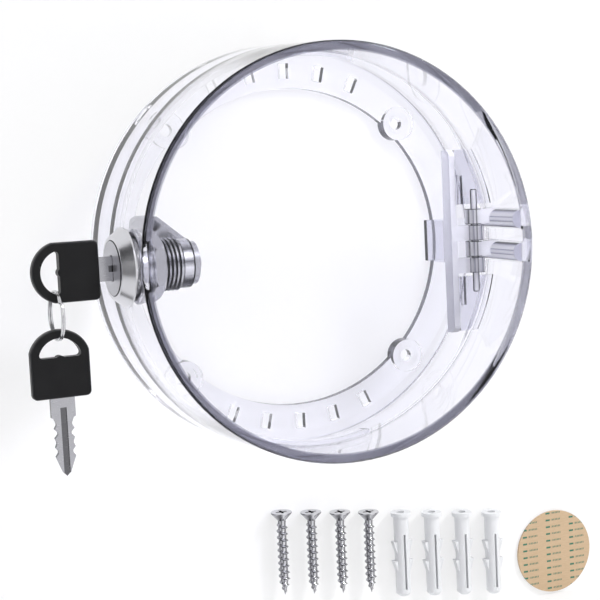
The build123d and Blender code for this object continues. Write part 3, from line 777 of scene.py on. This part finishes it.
# %% Cross recess
RECESS = (4.6 * MM, 1.1 * MM, 1.8 * MM)


def box_mesh(centre, size):
    """A plain box around a centre."""
    half = Vector(size) / 2
    corners = [Vector((x, y, z)) for z in (-1, 1) for y in (-1, 1) for x in (-1, 1)]
    points = [centre + Vector((c.x * half.x, c.y * half.y, c.z * half.z)) for c in corners]
    faces = [(0, 2, 3, 1), (4, 5, 7, 6), (0, 1, 5, 4), (2, 6, 7, 3), (0, 4, 6, 2), (1, 3, 7, 5)]
    mesh = bpy.data.meshes.new("box")
    mesh.from_pydata(points, [], faces)
    return mesh


def cut(mesh, cutters):
    """The mesh less some other meshes."""
    body = bpy.data.objects.new("body", mesh)
    tools = [bpy.data.objects.new("tool", cutter) for cutter in cutters]
    for item in [body] + tools:
        bpy.context.scene.collection.objects.link(item)
    for tool in tools:
        modifier = body.modifiers.new("cut", "BOOLEAN")
        modifier.object = tool
        modifier.solver = "EXACT"
    bpy.context.view_layer.update()
    result = bpy.data.meshes.new_from_object(body.evaluated_get(bpy.context.evaluated_depsgraph_get()))
    for item in [body] + tools:
        bpy.data.objects.remove(item)
    smooth_by_angle(result, CREASE)
    return result


print("recess:", [round(size / MM, 1) for size in RECESS], "mm")

# %% [markdown]
# The four screws are alike, so one loop sets them in their row. They are joined into one mesh,
# because they stand for one node of the frame.

# %% Screws with a helical thread
SCREW_COUNT = 4


def join(meshes):
    """One mesh out of several."""
    work = bmesh.new()
    for mesh in meshes:
        work.from_mesh(mesh)
    result = bpy.data.meshes.new("joined")
    work.to_mesh(result)
    work.free()
    return result


def make_screws():
    low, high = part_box("mounting_screws")
    step = (high.x - low.x - 2 * SCREW_HEAD) / (SCREW_COUNT - 1)
    drop = (high.z - low.z - SCREW_LENGTH) / (SCREW_COUNT - 1)
    screws = []
    for number in range(SCREW_COUNT):
        top = Vector((low.x + SCREW_HEAD + number * step, (low.y + high.y) / 2,
                      high.z - number * drop))
        wide, thin, deep = RECESS
        cross = [box_mesh(top, (wide, thin, 2 * deep)), box_mesh(top, (thin, wide, 2 * deep))]
        screws.append(cut(grid_mesh(screw_rows(top)), cross))
    return piece("screws_threaded", join(screws), screw_steel, "mounting_screws")


screws = make_screws()
print("screws:", len(screws.data.polygons), "faces")

# %% [markdown]
# A split ring is one spring wire wound twice round, so its two turns lie side by side and its ends
# show as small steps. A circle swept along two turns of a shallow helix makes it.

# %% Split ring
RING_RADIUS = 8.3 * MM
WIRE_RADIUS = 0.40 * MM
RING_TURNS = 2.0
COIL_OFFSET = 0.42 * MM
COIL_START = 0.6
COIL_SHARPNESS = 8.0


def make_split_ring(steps=220, sides=14):
    """The wire's circle, swept along its turns around the lock's axis."""
    low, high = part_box("split_ring")
    centre = (low + high) / 2
    axis = LOCK_AXIS
    up = Vector((0, 0, 1))
    side = axis.cross(up)
    rows = []
    for step in range(steps + 1):
        share = step / steps
        angle = 2 * math.pi * RING_TURNS * share + COIL_START
        outward = side * math.cos(angle) + up * math.sin(angle)
        shift = COIL_OFFSET * math.tanh(COIL_SHARPNESS * (share - 0.5))
        middle = centre + outward * RING_RADIUS + axis * shift
        rows.append([middle + (outward * math.cos(2 * math.pi * c / sides)
                               + axis * math.sin(2 * math.pi * c / sides)) * WIRE_RADIUS
                     for c in range(sides)])
    return piece("split_ring_wire", grid_mesh(rows), ring_steel, "split_ring")


split_ring = make_split_ring()
print("split ring:", len(split_ring.data.polygons), "faces")

# %% [markdown]
# The studio is a white wall just behind the box, a pale floor below the loose kit, and a plain
# white sky. More lamps would make the backdrop white, but bleach the box too. So the backdrop
# glows only for the camera, for mirrors and for clear things, and is matt paint for other rays.

# %% Wall and floor
FLOOR_Z = -158.5
FLOOR_REACH = 2500
WALL_Y = 0.2
WALL_REACH = 1500
GLOW = 0.60
PAINT = (0.93, 0.93, 0.94)


def stage_plane(name, corners, material, seen=True):
    """One flat plane of the studio, its four corners in millimetres."""
    mesh = bpy.data.meshes.new(name)
    mesh.from_pydata([Vector(c) * MM for c in corners], [], [(0, 1, 2, 3)])
    plane = bpy.data.objects.new(name, mesh)
    plane.data.materials.append(material)
    plane.visible_camera = seen
    bpy.context.scene.collection.objects.link(plane)
    return plane


def looked_at(nodes):
    """1 for rays of the camera, of mirrors and of clear things, and 0 for all others."""
    path = nodes.node("ShaderNodeLightPath")
    return (path["Is Camera Ray"] + path["Is Glossy Ray"] + path["Is Transmission Ray"]).clamp()


def studio_white(name, glow, one_sided=False):
    """Matt paint with a glow for the rays that look at it; one-sided paint is clear from behind."""
    finish = Finish(name, PAINT, 0.0, 0.9)
    paint = finish.node("ShaderNodeBsdfDiffuse", None, {"Color": colour(*PAINT)})
    light = finish.node("ShaderNodeEmission", None, {"Color": colour(1, 1, 1), "Strength": 1.0})
    surface = finish.node("ShaderNodeMixShader", None,
                          {0: looked_at(finish) * glow, 1: paint[0], 2: light[0]})[0]
    if one_sided:
        back = finish.node("ShaderNodeNewGeometry")["Backfacing"]
        clear = finish.node("ShaderNodeBsdfTransparent")
        surface = finish.node("ShaderNodeMixShader", None, {0: back, 1: surface, 2: clear[0]})[0]
    finish.feed(finish.output.inputs[0], surface)
    return finish.material


wall_white = studio_white("wall_white", GLOW, one_sided=True)
floor_white = studio_white("floor_white", GLOW)
stage_plane("studio_floor", [(x * FLOOR_REACH, y * FLOOR_REACH, FLOOR_Z)
                             for x, y in ((-1, -1), (1, -1), (1, 1), (-1, 1))], floor_white)
stage_plane("studio_wall", [(-WALL_REACH, WALL_Y, FLOOR_Z), (WALL_REACH, WALL_Y, FLOOR_Z),
                            (WALL_REACH, WALL_Y, WALL_REACH), (-WALL_REACH, WALL_Y, WALL_REACH)],
            wall_white)
print("backdrop:", wall_white.name, floor_white.name)

# %% [markdown]
# The sky is one Background node. It is full white where it is looked at, and a little darker as a
# light, so that the pieces keep their shading.

# %% Sky
SHADE_LEVEL = 0.66


def sky():
    world = bpy.data.worlds.new("sky")
    bpy.context.scene.world = world
    world.use_nodes = True
    nodes = Nodes(world.node_tree)
    background = world.node_tree.nodes["Background"]
    nodes.feed(background.inputs["Color"], colour(1, 1, 1))
    nodes.feed(background.inputs["Strength"], looked_at(nodes) * (1.0 - SHADE_LEVEL) + SHADE_LEVEL)


sky()
print("sky as a light:", SHADE_LEVEL)

# %% [markdown]
# A small lamp from the upper right models the forms, and a wide weak one from the left fills the
# shadows. Black cards outside the picture give the chrome something dark to mirror, as flags
# in a studio do. Rays bent through clear plastic pass them by, because there they would only show
# as black patches.

# %% Lamps and black cards
# Each lamp: its name, place, target, size and power. Each card: its name and corners.
LAMPS = [("key_lamp", (0.75, -0.75, 0.85), (0, -0.03, -0.02), 0.22, 11.0),
         ("fill_lamp", (-0.9, -1.0, 0.5), (0, -0.03, 0), 0.9, 2.5)]
CARDS = [("card_left", [(-420, -330, -150), (-420, -70, -150), (-420, -70, 420), (-420, -330, 420)]),
         ("card_above", [(-300, -420, 520), (200, -420, 520), (200, -330, 520), (-300, -330, 520)])]


def soft_lamp(name, place, target, size, power):
    data = bpy.data.lights.new(name, "AREA")
    data.shape = "DISK"
    data.size = size
    data.energy = power
    lamp = bpy.data.objects.new(name, data)
    lamp.location = place
    lamp.rotation_euler = (Vector(target) - Vector(place)).to_track_quat("-Z", "Y").to_euler()
    bpy.context.scene.collection.objects.link(lamp)
    return lamp


def black_card(name, corners):
    finish = Finish(name, (0.01, 0.01, 0.012), 0.0, 1.0)
    card = stage_plane(name, corners, finish.material, seen=False)
    card.visible_transmission = False
    return card


for lamp in LAMPS:
    soft_lamp(*lamp)
for card in CARDS:
    black_card(*card)
bpy.context.scene.view_settings.view_transform = "Standard"
print("lamps:", len(LAMPS), "cards:", len(CARDS))
